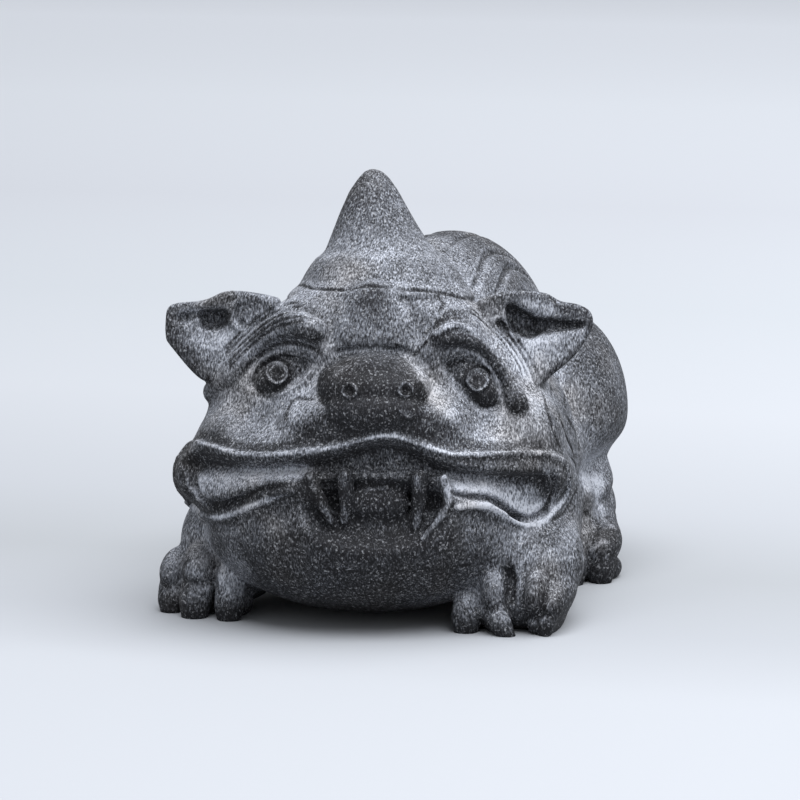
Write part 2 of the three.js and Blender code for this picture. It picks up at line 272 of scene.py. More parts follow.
MOUTH = [
    (-20.79, -6.4), (-20.05, -5.46), (-18.48, -5.14), (-16.38, -5.67), (-14.8, -6.09), (-12.49, -6.3),
    (-7.98, -5.98), (-4.62, -5.56), (-2.1, -4.83), (1.05, -4.3), (3.78, -4.93), (7.46, -6.51),
    (9.76, -7.04), (12.91, -7.35), (16.06, -7.46), (17.75, -7.56), (18.48, -8.4), (18.69, -9.87),
    (18.16, -11.55), (17.11, -12.81), (15.43, -13.23), (13.75, -12.81), (11.87, -11.34), (8.29, -11.34),
    (5.56, -11.55), (0.32, -11.76),
    (-4.93, -11.34), (-8.08, -10.5), (-11.45, -10.5), (-14.8, -11.97), (-16.59, -12.39), (-18.27, -11.97),
    (-19.74, -10.81), (-20.58, -9.13), (-20.89, -7.67),
]
GUM_EDGE = [(-20.89, -10.5), (-18.27, -10.5), (-15.96, -9.87), (-13.86, -9.13), (-11.76, -8.82),
            (-9.66, -8.61), (-5.98, -8.4), (-0.73, -8.29), (5.56, -8.71), (8.19, -9.45), (10.29, -9.66),
            (11.87, -9.76), (13.23, -10.39), (14.49, -11.23), (15.75, -11.76), (17.11, -11.34),
            (18.79, -10.29)]
GUM_SLOPE = [(-20.9, 3.1), (-17.5, 3.1), (-14.4, 2.5), (-9.1, 1.6), (-4.9, 1.4), (5.6, 1.4), (8.7, 1.7),
             (12.9, 2.3), (17.1, 3.4)]
GUM_DEPTH = [(-20.9, 0.3), (-8, 0.5), (-4.5, 1.4), (4.5, 1.4), (8, 0.5), (19, 0.3)]
MOUTH_DEPTH = 2.4
TEETH_HALF = 7.4  # the teeth stand this far to each side of the middle, and there the gum drops to the pocket
near, share = inside_outline(figure, MOUTH, 0.8)
across, up = face_view(places(figure)[near])
above = up - np.interp(across, *zip(*GUM_EDGE))
shelf = np.interp(across, *zip(*GUM_DEPTH))
rise = np.interp(across, *zip(*GUM_SLOPE))
sloped = shelf + (MOUTH_DEPTH - shelf) * np.clip(above / rise, 0, 1) ** 0.8
middle = np.clip((TEETH_HALF - np.abs(across)) / 1.4, 0, 1)
by_gum = shelf * np.clip(1 + above / 0.8, 0, 1)
by_teeth = shelf + np.clip(-above / 0.6, 0, 1)
below = by_gum * (1 - middle) + by_teeth * middle
press(figure, near, np.where(above > 0, sloped, below) * share)
UNDER_TEETH = [(-8.29, -10.5), (-5.77, -9.03), (-0.73, -8.82), (5.56, -9.24), (8.08, -9.87),
               (7.88, -12.6), (5.77, -15.22), (0.84, -16.38), (-4.93, -15.75), (-7.88, -13.44)]
hollow(figure, UNDER_TEETH, 2.0, 2.6)

# The eyes lie in almond hollows. The boss over the nose stands between two shallow valleys, and a crease
# parts it from the nose. All are pressed into the rough head before anything is laid on it.
EYES = {
    "right": [(-14.07, 1.47), (-13.12, 3.57), (-11.03, 5.14), (-8.5, 5.25), (-5.98, 3.99), (-7.46, 2.31),
              (-9.66, 0.63), (-12.29, 0)],
    "left": [(6.4, 3.99), (8.29, 4.83), (10.61, 4.62), (12.91, 2.73), (13.86, 0), (13.12, -1.68),
             (10.81, -1.47), (8.29, 0.42)],
}
for outline in EYES.values():
    hollow(figure, outline, 1.1, 1.2)
VALLEYS = [
    ([(-6.19, 5.25), (-6.4, 7.88), (-5.14, 10.19), (-3.67, 10.71), (-3.36, 8.19), (-3.46, 5.67),
      (-4.3, 4.83)], 0.55, 1.5),
    ([(2.52, 5.67), (2.42, 8.19), (2.83, 10.71), (4.3, 10.5), (5.88, 8.4), (5.56, 6.09),
      (3.88, 4.83)], 0.55, 1.5),
    ([(-4.93, 4.83), (-3.36, 5.77), (2.42, 5.77), (4.3, 4.83), (3.25, 4.3), (-0.42, 4.72),
      (-3.88, 4.3)], 0.6, 0.5),
]
for outline, depth, slope in VALLEYS:
    hollow(figure, outline, depth, slope)

# Brows, eyeballs and nose are left standing out of the face. Each brow is a roll, the left one with a thin
# bead over it, and the nose is a group of egg-shaped lobes. They are joined with the skin later.


# A roll of stone along a path is round at both ends.
def roll(points, radii):
    bpy.ops.object.select_all(action="DESELECT")
    bpy.ops.curve.primitive_bezier_curve_add()
    rope = bpy.context.object
    shape = rope.data
    shape.bevel_depth = 1
    shape.bevel_resolution = 4
    shape.resolution_u = 8
    shape.use_fill_caps = True
    line = shape.splines[0]
    line.bezier_points.add(len(points) - 2)
    steps = np.interp(np.linspace(0, 1, len(points)), np.linspace(0, 1, len(radii)), radii)
    for knot, place, radius in zip(line.bezier_points, points, steps):
        knot.co = place
        knot.radius = radius
        knot.handle_left_type = knot.handle_right_type = "AUTO"
    pick(rope)
    bpy.ops.object.convert(target="MESH")
    rope = bpy.context.object
    ends = [egg(points[0], [steps[0]] * 3), egg(points[-1], [steps[-1]] * 3)]
    pick(rope, *ends)
    bpy.ops.object.join()
    return rope


def face_roll(marks, radii, out):
    outs = np.interp(np.linspace(0, 1, len(marks)), np.linspace(0, 1, len(out)), out)
    return roll([on_face(x, z, o) for (x, z), o in zip(marks, outs)], radii)


def face_egg(mark, half, out, turn=(0, 0, 0)):
    spot = on_face(*mark, out)
    place = Matrix.Translation(spot) @ HEAD.to_3x3().to_4x4()
    return egg((0, 0, 0), half, turn, place)


features = [
    figure,
    face_egg((-10.19, 2.73), (3.1, 2.0, 1.85), -1.5, (0, -22, 0)),  # right eyeball
    face_egg((10.39, 1.68), (3.0, 2.0, 1.9), -1.5, (0, 38, 0)),  # left eyeball
    # right brow, then left brow
    face_roll([(-17.32, 0.94), (-15.12, 3.15), (-12.71, 5.67), (-10.29, 7.46), (-8.19, 7.88),
               (-6.61, 7.35)], [1.4, 1.6, 1.7, 1.6, 1.5, 1.35], [-0.6, -0.4, -0.3, -0.1, 0.0, 0.2]),
    face_roll([(6.61, 6.19), (7.88, 6.51), (9.34, 6.3), (10.71, 5.67), (11.87, 4.62), (12.81, 3.36),
               (13.65, 1.99), (14.28, 0.63), (14.7, -0.42)],
              [0.6, 0.85, 0.9, 0.85, 0.8, 0.8, 0.9, 1.1, 1.2], [0.1, 0.3]),
    face_egg((-0.32, 1.26), (5.4, 4.4, 2.9), -0.5),  # nose, and its foot on the muzzle
    face_egg((-0.32, -0.84), (5.2, 3.0, 2.4), -1.1),
    face_egg((-0.42, 2.83), (4.2, 3.8, 2.2), -0.2),  # its top, in three lobes
    face_egg((-2.42, 2.42), (2.6, 3.5, 1.9), -0.2),
    face_egg((1.78, 2.42), (2.6, 3.5, 1.9), -0.2),
    face_egg((-0.42, 8.19), (3.6, 2.2, 4.8), -2.0),  # the boss over it
    face_egg((-3.88, 1.47), (2.3, 3.2, 2.3), 0.1),  # the nose's two wings
    face_egg((3.46, 1.36), (2.2, 3.2, 2.2), 0.1),
    # the bead over the left brow
    face_roll([(5.98, 6.61), (6.4, 7.14), (7.25, 7.56), (8.19, 7.77), (9.45, 7.56), (10.61, 6.93)],
              [0.26, 0.36, 0.36, 0.36, 0.26], [0.5]),
]

# The lips are thin raised beads of the same stone round the mouth: one along the whole upper lip,
# and one from each corner along the lower lip to the fangs.
features += [
    face_roll([(-20.79, -5.04), (-19.43, -4.57), (-18.06, -4.67), (-16.38, -5.25), (-14.8, -5.67),
               (-12.49, -5.83), (-10.29, -5.77), (-7.98, -5.46), (-4.62, -5.04), (-2.1, -4.3),
               (1.05, -3.78), (3.78, -4.41), (5.56, -5.04), (7.56, -5.77), (10.29, -5.77), (12.91, -5.77),
               (15.33, -5.56), (17.22, -5.67), (18.48, -5.88)], [0.32], [0.1]),
    face_roll([(-20.79, -5.04), (-21.21, -6.72), (-21, -8.82), (-20.37, -10.39), (-19.32, -11.34),
               (-18.06, -12.07), (-16.38, -12.29), (-14.8, -11.87), (-13.12, -11.13), (-11.45, -10.39),
               (-10.19, -9.66), (-9.03, -9.66)], [0.3, 0.3, 0.3, 0.32, 0.42], [0.1]),
    face_roll([(18.48, -5.88), (19.84, -6.72), (20.16, -8.4), (19.74, -10.19), (19, -11.23),
               (18.06, -12.18), (16.91, -12.91), (15.33, -13.12), (14.17, -12.49), (12.91, -11.65),
               (11.76, -11.23), (9.97, -11.03), (8.5, -11.23)], [0.3, 0.3, 0.32, 0.4], [0.1]),
]

# Two broad low teeth fill the middle of the mouth, and four fangs stand beside them, tapering down over the
# lower lip. They are left standing in the pocket that is cut round them.
features += [
    face_egg((-1.16, -11.03), (2.2, 1.6, 1.8), -2.5),
    face_egg((1.47, -11.13), (2.1, 1.6, 1.8), -2.6),
]
FANGS = [
    ([(-7.14, -8.19), (-6.09, -10.5), (-4.83, -12.91)], [0.7, 0.7, 0.4], [-0.7, -0.7, -1.2]),
    ([(-3.46, -7.98), (-3.25, -10.39), (-3.57, -12.71)], [0.9, 0.85, 0.45], [-1.0, -1.0, -1.5]),
    ([(4.51, -8.19), (4.51, -10.71), (4.2, -13.33)], [0.85, 0.8, 0.45], [-1.1, -1.1, -1.5]),
    ([(7.14, -8.4), (7.46, -10.29), (6.93, -11.97), (4.83, -14.59)], [0.55, 0.55, 0.5, 0.3],
     [-0.5, -0.4, -0.4, -0.4]),
]
for marks, radii, outs in FANGS:
    features.append(face_roll(marks, radii, outs))

# The horn is a round cone on a wide collar, set a little back on the forehead. It is turned up ring by
# ring: how far the middle of each ring lies across and up the face, and its half width.
HORN_BACK = 8.9
HORN = [
    (0.3675, 9.975, 9.24), (0.3675, 10.815, 9.9225), (0.42, 11.445, 9.5025), (0.525, 12.18, 8.715),
    (0.525, 13.44, 8.0325), (0.42, 14.175, 7.455), (0.3675, 14.91, 6.825), (0.3675, 15.33, 6.195),
    (0.3675, 15.8025, 5.8275), (0.105, 16.59, 5.25), (-0.105, 18.2175, 4.41), (-0.2625, 19.845, 3.6225),
    (-0.3675, 21.945, 2.5725), (-0.3675, 23.31, 1.6275), (-0.42, 23.9925, 0.945), (-0.462, 24.255, 0.315),
]


def turned_up(rings, depth):
    scale = widening(depth)
    bpy.ops.object.select_all(action="DESELECT")
    bpy.ops.mesh.primitive_circle_add(vertices=48, radius=1, fill_type="NGON")
    cone = bpy.context.object
    bpy.ops.object.mode_set(mode="EDIT")
    bpy.ops.mesh.select_all(action="SELECT")
    last = None
    for middle, up, half in rings:
        middle, up, half = middle * scale, up * scale, half * scale
        if last is None:
            bpy.ops.transform.resize(value=(half, half, half))
            bpy.ops.transform.translate(value=(middle, depth, up))
        else:
            step = (middle - last[0], 0, up - last[1])
            bpy.ops.mesh.extrude_region_move(TRANSFORM_OT_translate={"value": step})
            share = half / last[2]
            bpy.ops.transform.resize(value=(share, share, share), center_override=(middle, depth, up))
        last = (middle, up, half)
    bpy.ops.object.mode_set(mode="OBJECT")
    cone.data.transform(HEAD)
    return cone


features.append(turned_up(HORN, HORN_BACK))

# The ears are leaves of stone that point outwards, slimmer and swept back towards the tip. Each is an
# outline seen from in front, given its thickness with rounded edges, and dished later.
EAR_BACK = 7.2
EAR_THICK = 3.6
EAR_EDGE = 0.7
EAR_SWEEP = 0.12
EARS = {
    "right": [(-10.29, 10.71), (-12.07, 11.13), (-14.49, 11.45), (-16.17, 11.34), (-17.54, 10.71),
              (-18.79, 10.39), (-21.11, 10.19), (-22.05, 9.66), (-22.26, 8.4), (-22.26, 6.83),
              (-21.73, 5.67), (-18.16, 1.99), (-15.64, 3.57), (-12.07, 5.77), (-9.66, 7.88)],
    "left": [(10.61, 10.5), (12.91, 11.34), (15.33, 11.45), (17.64, 11.23), (19.21, 10.39), (21, 10.08),
             (22.36, 9.34), (22.68, 7.98), (22.05, 6.51), (20.79, 4.72), (18.38, 2.62), (16.27, 1.05),
             (14.17, 3.57), (12.07, 6.3), (10.39, 8.4)],
}


def leaf(outline):
    bpy.ops.object.select_all(action="DESELECT")
    bpy.ops.curve.primitive_bezier_curve_add()
    piece = bpy.context.object
    shape = piece.data
    shape.dimensions = "2D"
    shape.fill_mode = "BOTH"
    shape.extrude = EAR_THICK / 2 - EAR_EDGE
    shape.bevel_depth = EAR_EDGE
    shape.bevel_resolution = 3
    shape.offset = -EAR_EDGE
    shape.splines.clear()
    line = shape.splines.new("POLY")
    path = closed_path(outline, 0.5, widening(EAR_BACK))[:-1]
    line.points.add(len(path) - 1)
    for knot, place in zip(line.points, path):
        knot.co = (place.x, place.y, 0, 1)
    line.use_cyclic_u = True
    pick(piece)
    bpy.ops.object.convert(target="MESH")
    piece = bpy.context.object
    across, up, through = places(piece).T
    slim = 1 - 0.5 * np.clip((np.abs(across) - 13) / 10, 0, 1)
    back = EAR_BACK - through * slim + EAR_SWEEP * (np.abs(across) - 16)
    put(piece, np.stack([across, back, up], 1))
    pick(piece)
    bpy.ops.object.mode_set(mode="EDIT")
    bpy.ops.mesh.select_all(action="SELECT")
    bpy.ops.mesh.remove_doubles(threshold=0.001)
    bpy.ops.mesh.normals_make_consistent(inside=False)
    bpy.ops.object.mode_set(mode="OBJECT")
    piece.data.transform(HEAD)
    return piece


for outline in EARS.values():
    features.append(leaf(outline))

# The paws stand flat on the floor. Blunt toes lie side by side, each a bulb over a crease, with a thick nail.
# A toe has a place, a height, a half width, its crease's height, a lean, and its nail's shift sideways.
def toe(x, y, tall, wide, low, lean=0, aside=0):
    crease = (tall + low) / 2
    return [
        egg((x, y, crease), (wide, 3.4, tall - crease + 0.3), (12, lean, 0)),
        egg((x, y + 0.6, low * 0.5), (wide * 0.95, 2.7, low * 0.7)),
        roll(
            [(x, y - 1.6, low + 0.2), (x + 0.6 * aside, y - 2.3, low * 0.55), (x + aside, y - 2.5, -0.2)],
            [wide * 0.9, wide * 0.92, wide * 0.72],
        ),
    ]


FORE_TOES = [
    (-22.8, -22.6, 6.2, 1.7, 2.2, 4, 0.2),
    (-19.3, -24.6, 7.6, 2.0, 2.6),
    (-15.5, -24.9, 6.2, 1.8, 2.5, -4, 0.2),
    (10.6, -23.8, 4.2, 1.8, 2.4),
    (13.4, -24.6, 6.8, 1.35, 2.1, -6, 1.9),
    (19.8, -23.2, 4.9, 1.3, 2.1, 3, -0.5),
]
for sizes in FORE_TOES:
    features += toe(*sizes)
# The left forepaw's third toe has worn its nail away.
features.append(egg((18.0, -24.3, 4.4), (1.3, 3.4, 2.6), (12, 0, 0)))
features.append(egg((18.0, -23.7, 1.05), (1.24, 2.7, 1.47)))
for side in SIDES:
    features += toe(12.6 * side, 4.0, 5.0, 1.6, 2.0)
    features += toe(15.6 * side, 3.4, 6.4, 1.7, 2.2)
    features += toe(18.4 * side, 5.4, 5.6, 1.7, 2.1, 5 * side)
    features.append(egg((16.2 * side, 11, 10.8), (2.3, 4.6, 2.6), (24, 0, -12 * side)))  # heel

# The tail is laid up over the rump in three locks, a long one between two shorter ones. With it all that
# stands out is there, and is joined with the rough block as one skin.
long_lock = [(0, 23, 7), (0, 28.6, 11), (0, 30.7, 18), (0, 27.2, 27), (0, 21.1, 34)]
features.append(roll(long_lock, [3.2, 4, 4, 3, 1]))
for side in SIDES:
    lock = [(2 * side, 28.2, 12), (5.6 * side, 25.4, 17), (7.4 * side, 22.6, 23), (5.4 * side, 23, 28.5)]
    features.append(roll(lock, [2.4, 2.6, 2, 0.8]))
STONE_VOXEL = 0.24
figure = fuse(features, STONE_VOXEL)

# The ears are dished from the upper rim to the tip, deepest by the head. The left forepaw's outer side
# slopes in towards its nails, and over each hind foot the leg draws in to an ankle.
EAR_FOLD = [(12.29, 8.19), (12.91, 8.71), (13.75, 8.29), (14.17, 7.25), (13.96, 6.4), (13.02, 6.72)]
EAR_HOLLOWS = [
    ([(-21.11, 8.19), (-19, 9.24), (-16.27, 9.97), (-14.59, 9.24), (-14.38, 7.35), (-15.85, 5.67),
      (-17.95, 5.04), (-19.84, 6.19)], 0.5, 2.2),
    ([(-19, 7.98), (-18.59, 9.45), (-17.11, 9.87), (-15.64, 9.55), (-15.43, 8.4), (-16.48, 7.25),
      (-17.95, 7.14)], 2.0, 1.0),
    ([(-21.95, 8.61), (-20.68, 9.34), (-18.59, 9.66), (-17.11, 9.24), (-18.59, 8.29),
      (-20.47, 7.88)], 0.9, 0.7),
    ([(13.75, 7.35), (13.75, 10.08), (15.43, 10.61), (17.95, 9.66), (20.27, 8.61), (21.73, 7.98),
      (20.47, 6.72), (17.95, 5.67), (15.43, 5.25)], 0.5, 2.2),
    ([(13.44, 8.4), (13.33, 9.87), (14.07, 10.39), (15.43, 9.66), (16.91, 8.71), (17.54, 7.56),
      (17.11, 6.61), (15.85, 6.3), (14.28, 6.93)], 2.0, 0.8),
    (EAR_FOLD, 0.6, 0.5),
    ([(16.06, 8.82), (18.16, 8.71), (20.47, 8.5), (22.05, 8.19), (21.84, 7.35), (19.21, 7.04),
      (16.59, 6.93)], 1.1, 0.7),
]
for outline, depth, slope in EAR_HOLLOWS:
    hollow(figure, outline, depth, slope)
PAW_SIDE = 19.6  # how far across the left forepaw's outer side stands at the floor
PAW_SLOPE = 0.42
PAW_TOP = 8.8
ANKLE_AT = (9, 12.4)  # back and up
ANKLE_HALF = (9, 2.4)
ANKLE_DEPTH = 2.4
points = places(figure)
across, back, up = points.T
wide = np.clip(across - PAW_SIDE - PAW_SLOPE * up, 0, None)
wide *= np.clip(PAW_TOP - up, 0, 1) * np.clip((-16 - back) / 4, 0, 1)
across -= 0.8 * wide
ankle = np.exp(-(((up - ANKLE_AT[1]) / ANKLE_HALF[1]) ** 2) - ((back - ANKLE_AT[0]) / ANKLE_HALF[0]) ** 2)
across -= ANKLE_DEPTH * ankle * np.sign(across) * np.clip(np.abs(across) / 3 - 4.3, 0, 1)
put(figure, points)
rub(figure, passes=4, fill=0.4, wear=0.15)

# Last the carver cuts fine lines: rings round the eyes and nostrils, lids, hair over the brows, creases,
# and the mane. The skin is made finer over the face first. Each line is a groove or a ridge, given by its
# places, half width and height, and how far it fades at its ends.
FINE_FROM = (-14.8, -4.83)
FINE_TO = (16.27, 6.93)
pick(figure)
across, up = face_view(places(figure))
chosen = (across > FINE_FROM[0]) & (across < FINE_TO[0]) & (up > FINE_FROM[1]) & (up < FINE_TO[1])
chosen &= (facings(figure) @ TOWARD > 0) & (behind_face(places(figure)) < FACE_DEPTH)
bpy.ops.object.mode_set(mode="EDIT")
bpy.ops.mesh.select_mode(type="VERT")
bpy.ops.mesh.select_all(action="DESELECT")
bpy.ops.object.mode_set(mode="OBJECT")
figure.data.vertices.foreach_set("select", chosen)
bpy.ops.object.mode_set(mode="EDIT")
bpy.ops.mesh.subdivide(number_cuts=1, quadcorner="FAN")
bpy.ops.object.mode_set(mode="OBJECT")


def carve(piece, lines):
    points, normals = places(piece), facings(piece)
    lift = np.zeros(len(points))
    for path, width, height, fade in lines:
        line = np.array([tuple(p) for p in smooth_path(path, 0.25)])
        near = np.where(((points > line.min(0) - width) & (points < line.max(0) + width)).all(1))[0]
        away = np.full(len(near), 1e9)
        along = np.zeros(len(near))
        runs = np.linalg.norm(line[1:] - line[:-1], axis=1)
        start = 0.0
        for a, b, run in zip(line, line[1:], runs):
            t = np.clip(((points[near] - a) @ (b - a)) / max(run * run, 1e-9), 0, 1)
            gap = np.linalg.norm(points[near] - a - t[:, None] * (b - a), axis=1)
            along = np.where(gap < away, start + t * run, along)
            away = np.minimum(away, gap)
            start += run
        ends = np.clip(np.minimum(along, start - along) / fade, 0, 1) ** 0.7 if fade else 1
        lift[near] += height * ends * np.clip(1 - (away / width) ** 2, 0, 1) ** 2
    put(piece, points + normals * lift[:, None])


skin = skin_of(figure)


def drawn(marks, width, height, fade=1.5):
    return [on_face(*mark) for mark in marks], width, height, fade


def ring_line(mark, radius, width, height):
    turns = [math.radians(30 * k) for k in range(13)]
    ring = [(mark[0] + radius * math.cos(t), mark[1] + radius * math.sin(t)) for t in turns]
    return drawn(ring, width, height, 0)


def dot(mark, width, height):
    return drawn([mark, (mark[0] + 0.05, mark[1])], width, height, 0)


# The same line drawn again and again, each time a step farther.
def shifted(marks, step, count):
    return [[(x + step[0] * k, z + step[1] * k) for x, z in marks] for k in range(count)]


lines = [
    # irises: a ring, a groove round it, and the pupil
    ring_line((-10.5, 2.83), 1.06, 0.26, 0.24),
    ring_line((-10.5, 2.83), 1.46, 0.26, -0.16),
    dot((-10.5, 2.83), 0.62, -0.26),
    ring_line((10.55, 2.05), 1.08, 0.26, 0.24),
    ring_line((10.55, 2.05), 1.48, 0.26, -0.16),
    dot((10.55, 2.05), 0.66, -0.26),
    # nostrils
    ring_line((-2.87, 0.92), 0.76, 0.3, 0.36),
    dot((-2.87, 0.92), 0.5, -0.25),
    ring_line((2.96, 1.01), 0.74, 0.3, 0.36),
    dot((2.96, 1.01), 0.42, -0.4),
]
CUTS = [
    # right eye's lids
    ([(-6.61, 3.88), (-7.88, 4.62), (-9.76, 4.93), (-11.65, 4.3), (-13.02, 2.94),
      (-13.44, 1.47)], 0.4, 0.16),
    ([(-13.44, 1.47), (-12.07, 0.53), (-9.97, 0.63), (-8.08, 1.57), (-6.61, 3.67)], 0.4, 0.14),
    ([(-5.98, 5.04), (-8.08, 5.88), (-10.19, 5.77), (-12.49, 4.51), (-14.17, 2.73)], 0.35, -0.14),
    # left eye's lids
    ([(7.04, 4.62), (8.71, 5.25), (10.29, 4.72), (11.65, 3.46), (12.71, 1.78), (13.12, 0),
      (13.23, -1.36)], 0.32, 0.1),
    ([(6.72, 3.57), (7.88, 1.26), (9.55, -0.63), (11.45, -1.57), (13.23, -1.05)], 0.4, 0.14),
    # creases under the horn's collar
    ([(-8.19, 12.07), (-6.83, 11.76), (-3.88, 11.55), (-0.1, 11.97), (3.46, 11.55), (7.25, 11.13),
      (9.13, 10.61)], 0.3, -0.2),
    ([(6.4, 10.92), (7.04, 10.08), (6.61, 9.45)], 0.3, -0.16),
    # over the left brow
    ([(4.09, 4.93), (4.93, 6.09), (6.3, 7.35), (7.35, 7.98), (8.92, 7.77), (10.61, 6.93)], 0.26, 0.14),
    ([(3.88, 4.62), (5.04, 5.88), (6.19, 6.93)], 0.22, -0.14),
    # under the chin
    ([(-4.93, -17.85), (-1.78, -18.16), (1.36, -18.16), (5.56, -17.85), (9.76, -17.22)], 0.25, -0.08, 4),
    # between the lower lip and the gum
    ([(-19.21, -7.77), (-19.21, -9.03), (-18.69, -10.19), (-17.75, -10.92), (-16.48, -11.13),
      (-14.91, -10.71), (-13.33, -9.97)], 0.75, -0.85, 1.5),
    ([(-16.59, -11.23), (-14.8, -10.5), (-13.12, -9.76), (-11.45, -9.24), (-9.76, -8.92)], 0.5, -0.5, 1.5),
    ([(7.88, -9.66), (8.92, -10.08), (10.39, -10.19), (11.87, -10.39), (13.23, -11.13), (14.49, -11.97),
      (15.75, -12.39)], 0.5, -0.75, 0.6),
    ([(13.75, -11.65), (15.22, -12.39), (16.7, -12.29), (17.85, -11.45), (18.48, -10.08), (18.69, -8.61),
      (18.16, -7.67)], 0.6, -0.8, 1.2),
    # left cheek
    ([(18.38, -4.93), (20.27, -5.88), (21, -7.67), (20.79, -9.87), (19.84, -11.55),
      (18.38, -12.71)], 0.24, -0.14),
    ([(18.27, 1.47), (18.79, -0.53), (19.43, -2.52), (20.05, -4.2), (20.68, -5.77)], 0.34, -0.16),
    ([(19, 2.31), (19.74, 0), (20.37, -2.52), (21.21, -5.04)], 0.34, -0.16),
    ([(17.43, 0.63), (17.95, -1.26), (18.48, -3.15), (19.21, -5.04)], 0.3, -0.12),
    # beside the nose, and on the muzzle
    ([(-8.08, 0), (-7.46, 1.57), (-6.19, 3.36), (-4.93, 4.62)], 0.5, -0.14),
    ([(5.77, 0), (6.19, 1.68), (5.56, 3.36), (4.51, 4.62)], 0.5, -0.14),
    ([(1.78, 0.21), (2.21, -1.05), (3.25, -1.89), (4.3, -1.26)], 0.3, 0.14),
    ([(-9.55, -1.89), (-9.13, -0.42), (-8.08, 0.21), (-6.83, 0)], 0.35, -0.1),
    # the ears' inner folds
    ([(-14.28, 7.14), (-15.12, 7.98), (-15.33, 9.03), (-14.91, 10.08), (-13.96, 10.61)], 0.45, 0.5),
    ([(-14.38, 8.61), (-14.17, 7.88), (-13.75, 7.56)], 0.6, -0.5, 0.4),
    ([(14.07, 8.82), (14.49, 7.77), (14.8, 6.51), (14.38, 5.88)], 0.4, 0.35),
    # between the left forepaw's toes
    ([(13.75, -17.43), (14.07, -19.32), (13.96, -21.63)], 0.9, -0.8, 1.0),
]
lines += [drawn(*cut) for cut in CUTS]
# Hair over both brows is cut in rows.
for marks in shifted([(-15.43, 3.57), (-13.12, 5.77), (-10.71, 7.56), (-7.88, 8.29)], (-0.1, 0.5), 5):
    lines.append(drawn(marks, 0.26, -0.2))
for marks in shifted([(9.76, 9.24), (11.87, 7.56), (13.75, 5.46), (15.12, 3.15),
                      (16.06, 0.94)], (0.42, 0.16), 4):
    lines.append(drawn(marks, 0.26, -0.18))
for marks in shifted([(6.19, 7.56), (7.46, 8.5), (8.92, 8.61)], (0.0, 0.36), 3):
    lines.append(drawn(marks, 0.2, -0.08))


def on_stone(*place):
    return skin.find_nearest(Vector(place))[0]


def laid(side, marks, width, height, fade=1.5):
    return [on_stone(x * side, y, z) for x, y, z in marks], width, height, fade


# A place on the trunk, found from its middle line: how many degrees down from the ridge, and how far back.
def round_trunk(side, angle, y):
    out = Vector((math.sin(math.radians(angle)) * side, 0, math.cos(math.radians(angle))))
    middle = Vector((0, y, 18))
    return skin.ray_cast(middle + 60 * out, -out)[0]


# The mane lies back in pointed locks: each line runs back along the neck and turns down to the next one.
def lock_line(side, angle, root, tip, turn):
    route = [(5, root), (0, 0.5 * (root + tip)), (0.3 * turn, tip - 2.5), (turn, tip)]
    return [round_trunk(side, angle + more, y) for more, y in route]


# Each lock: degrees down from the ridge, how far back it starts and ends, and degrees it turns down.
MANE = [
    (16, -6.5, 11, 8), (23, -3.5, 12, 9), (32, -4, 10, 10), (43, -5, 6.5, 11),
    (55, -7, 2, 11), (67, -8, -0.5, 10), (80, -9, -2.5, 9), (92, -9.5, -4, 8),
]
for side in SIDES:
    for sizes in MANE:
        lines.append((lock_line(side, *sizes), 0.65, -0.45, 1.2))
    lines += [
        # the haunch's edge, and the groove beside the ridge of the back
        laid(side, [(12, 1.5, 24), (12, 6, 28.5), (12, 13, 30), (13, 19, 28), (14, 23, 22),
                    (13, 24, 15)], 0.5, -0.25, 4),
        laid(side, [(2.0, -4, 38), (2.3, 6, 38.6), (2.5, 14, 37), (2.2, 20, 34.5)], 0.6, -0.3, 3),
        # behind the elbow, over the hind foot, and along the tail
        laid(side, [(15.6, -8, 3), (17, -10.5, 6.5), (17.6, -10, 11)], 0.45, -0.2),
        laid(side, [(17.4, 1.5, 7.5), (18.2, 8, 6.8), (16.5, 15, 6)], 0.45, -0.22, 2),
        laid(side, [(7.8, 25.5, 21), (6.6, 29, 16.5), (3.2, 31, 12)], 0.35, -0.2),
        laid(side, [(1.4, 33, 12), (1.7, 33.6, 18), (1.2, 30, 25), (0.8, 26, 30)], 0.35, -0.22),
    ]
carve(figure, lines)
# The soles are cut level, so that the figure stands.
points = places(figure)
points[:, 2] = np.maximum(points[:, 2], 0)
put(figure, points)

# The stone is basalt, dark and dense, rubbed with grit and then handled: bosses are almost black, hollows
# hold pale dust, short strokes cross, and white grains show. How much dust lies at a point follows from how
# proud it stands, which is found before the skin is thinned.
# Painted shade and painted light are added into the same value.
TRIANGLES = 190000
NEAR_PASSES = [16, 140, 600]


def proud(piece, passes):
    pairs, counts = neighbours(piece)
    points, normals = places(piece), facings(piece)
    found = []
    moved = points
    for done in range(1, passes[-1] + 1):
        moved = mean_around(moved, pairs, counts)
        if done in passes:
            found.append(((points - moved) * normals).sum(1))
    return found


thin, middling, broad = proud(figure, NEAR_PASSES)
full_points = places(figure)
finder = KDTree(len(full_points))
for k, place in enumerate(full_points):
    finder.insert(place, k)
finder.balance()
triangles = sum(len(p.vertices) - 2 for p in figure.data.polygons)
if triangles > TRIANGLES:
    work(figure, "DECIMATE", ratio=TRIANGLES / triangles)
nearest = np.array([finder.find(v.co)[1] for v in figure.data.vertices])
edge = np.clip(thin[nearest], -0.16, 0.16)
proudness = np.clip(middling[nearest], -0.6, 0.6) + np.clip(broad[nearest], -1.6, 1.6) * 0.45
